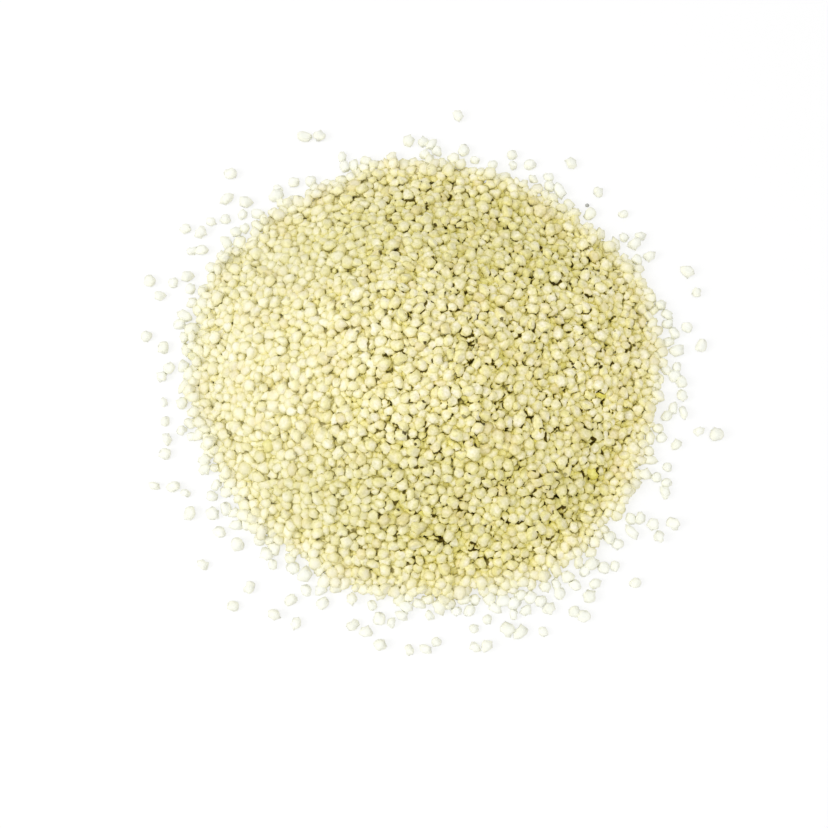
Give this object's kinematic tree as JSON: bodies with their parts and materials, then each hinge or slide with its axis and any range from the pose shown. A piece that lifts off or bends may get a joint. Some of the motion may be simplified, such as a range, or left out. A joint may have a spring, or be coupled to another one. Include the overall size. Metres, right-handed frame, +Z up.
{
  "type": "heap of hulled barnyard millet",
  "caption": "Low round heap of small pale rounded grains, poured out on a flat surface, with an uneven rim and loose grains lying round it.",
  "frame": {"origin": "under the middle of the whole, heap and loose grains, on the surface it lies on", "axes": "+Z up, +Y towards the heap's far side as it is looked at, +X to the looker's right"},
  "size_m": [0.0902, 0.085, 0.0148],
  "materials": {
    "millet": "matte pale cream-yellow hulled grains, slightly waxy",
    "grey_seed": "matte mid grey"
  },
  "bodies": {
    "root": {"grey_seed": "grey_seed", "millet_heap": "millet", "stray_grain_01": "millet", "stray_grain_02": "millet", "stray_grain_03": "millet", "stray_grain_04": "millet", "stray_grain_05": "millet", "stray_grain_06": "millet", "stray_grain_07": "millet", "stray_grain_08": "millet", "stray_grain_09": "millet", "stray_grain_10": "millet", "stray_grain_11": "millet", "stray_grain_12": "millet", "stray_grain_13": "millet", "stray_grain_14": "millet", "stray_grain_15": "millet", "stray_grain_16": "millet", "stray_grain_17": "millet", "stray_grain_18": "millet", "stray_grain_19": "millet", "stray_grain_20": "millet", "stray_grain_21": "millet", "stray_grain_22": "millet", "stray_grain_23": "millet", "stray_grain_24": "millet", "stray_grain_25": "millet", "stray_grain_26": "millet", "stray_grain_27": "millet", "stray_grain_28": "millet", "stray_grain_29": "millet", "stray_grain_30": "millet", "stray_grain_31": "millet", "stray_grain_32": "millet", "stray_grain_33": "millet", "stray_grain_34": "millet", "stray_grain_35": "millet", "stray_grain_36": "millet", "stray_grain_37": "millet", "stray_grain_38": "millet", "stray_grain_39": "millet", "stray_grain_40": "millet", "stray_grain_41": "millet", "stray_grain_42": "millet", "stray_grain_43": "millet", "stray_grain_44": "millet", "stray_grain_45": "millet", "stray_grain_46": "millet", "stray_grain_47": "millet", "stray_grain_48": "millet", "stray_grain_49": "millet", "stray_grain_50": "millet", "stray_grain_51": "millet", "stray_grain_52": "millet", "stray_grain_53": "millet", "stray_grain_54": "millet"}
  },
  "joints": []
}
